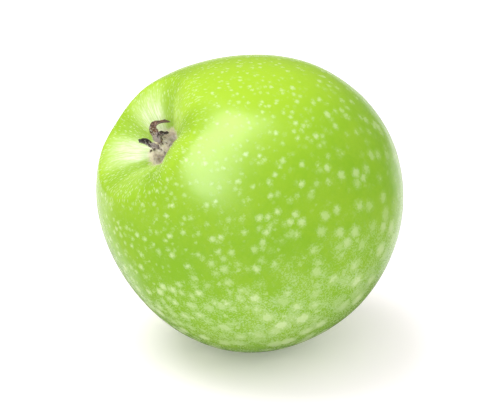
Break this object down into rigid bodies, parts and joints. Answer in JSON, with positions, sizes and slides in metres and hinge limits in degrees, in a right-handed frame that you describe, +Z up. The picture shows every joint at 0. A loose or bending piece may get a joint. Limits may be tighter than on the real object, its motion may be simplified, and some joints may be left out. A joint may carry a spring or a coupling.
{
  "type": "apple",
  "caption": "Green apple lying on its shoulder, blossom end up and to one side, with dried sepals in its basin and a short stem in its cavity.",
  "frame": {"origin": "middle of the small flat that the apple rests on, on the ground", "axes": "+Z up as the apple lies, -Z out of the rest flat, the blossom end leans 52 degrees from +Z towards -X and a little towards -Y"},
  "size_m": [0.0781, 0.0763, 0.0745],
  "materials": {
    "skin": "waxy green apple skin",
    "bark": "dry stalk bark",
    "dried_sepal": "dried leaf with fine down",
    "dried_stamen": "dried thread"
  },
  "bodies": {
    "root": {"fruit": "skin", "stem": "bark", "sepal_1": "dried_sepal", "sepal_2": "dried_sepal", "sepal_3": "dried_sepal", "sepal_4": "dried_sepal", "sepal_5": "dried_sepal", "stamens": "dried_stamen"}
  },
  "joints": []
}
